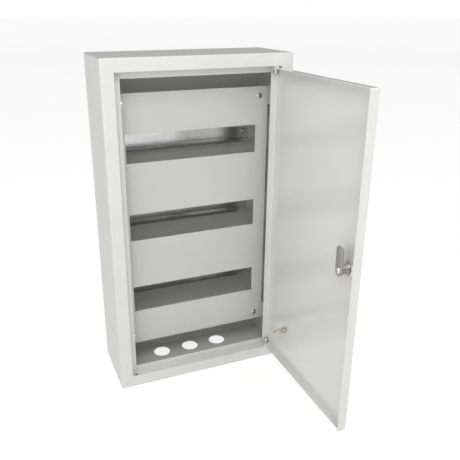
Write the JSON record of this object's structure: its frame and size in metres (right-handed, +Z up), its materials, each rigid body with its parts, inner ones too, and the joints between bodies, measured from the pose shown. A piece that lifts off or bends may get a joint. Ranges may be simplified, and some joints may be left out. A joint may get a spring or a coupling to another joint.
{
  "type": "wall-mounted distribution enclosure",
  "caption": "Surface-mounted steel distribution enclosure with a hinged lockable door, dead-front panel with device windows, device rails and bottom cable entries.",
  "frame": {"origin": "centre of the wall-fixing hole pattern, on the back face", "axes": "+X right seen from the front, +Y into the wall, +Z up"},
  "size_m": [0.3, 0.3662, 0.54],
  "materials": {
    "painted_steel": "light grey semi-gloss powder coat",
    "rail_steel": "zinc-plated rolled steel",
    "screw_steel": "bright zinc plating",
    "pin_steel": "turned steel",
    "washer_plastic": "natural nylon",
    "lock_metal": "satin nickel over die-cast zinc",
    "stud_copper": "copper plating",
    "bar_brass": "drawn brass",
    "neutral_insulator": "moulded blue insulator",
    "earth_insulator": "moulded green insulator"
  },
  "bodies": {
    "enclosure": {"back_panel": "painted_steel", "body_earth_nuts": "stud_copper", "body_earth_stud": "stud_copper", "body_earth_washers": "stud_copper", "body_wrap": "painted_steel", "dead_front_panel": "painted_steel", "din_rail_lower": "rail_steel", "din_rail_middle": "rail_steel", "din_rail_upper": "rail_steel", "earth_bar": "bar_brass", "earth_bar_feet": "earth_insulator", "earth_bar_screws": "bar_brass", "front_frame": "painted_steel", "hinge_pin_lower": "pin_steel", "hinge_pin_upper": "pin_steel", "hinge_washer_lower": "washer_plastic", "hinge_washer_upper": "washer_plastic", "neutral_bar": "bar_brass", "neutral_bar_feet": "neutral_insulator", "neutral_bar_screws": "bar_brass", "panel_bracket_lower_left": "painted_steel", "panel_bracket_lower_right": "painted_steel", "panel_bracket_upper_left": "painted_steel", "panel_bracket_upper_right": "painted_steel", "panel_screws": "screw_steel", "rail_bracket_lower_left": "painted_steel", "rail_bracket_lower_right": "painted_steel", "rail_bracket_middle_left": "painted_steel", "rail_bracket_middle_right": "painted_steel", "rail_bracket_upper_left": "painted_steel", "rail_bracket_upper_right": "painted_steel", "rail_screws": "screw_steel"},
    "door": {"door_panel": "painted_steel", "lock_housing": "lock_metal", "lock_nut": "lock_metal", "door_earth_stud": "stud_copper", "door_earth_nuts": "stud_copper", "door_earth_washers": "stud_copper"},
    "lock_rotor": {"lock_plug": "lock_metal", "lock_cam": "lock_metal", "cam_screw": "screw_steel"}
  },
  "joints": [
    {"name": "door_hinge", "type": "hinge", "parent": "enclosure", "child": "door", "pos_m": [0.1227, -0.1145, 0], "axis": [0, 0, 1], "range_deg": [-90, 14]},
    {"name": "lock_turn", "type": "hinge", "parent": "door", "child": "lock_rotor", "pos_m": [0.1112, -0.3417, 0.0063], "axis": [1, 0, 0], "range_deg": [0, 90]}
  ]
}
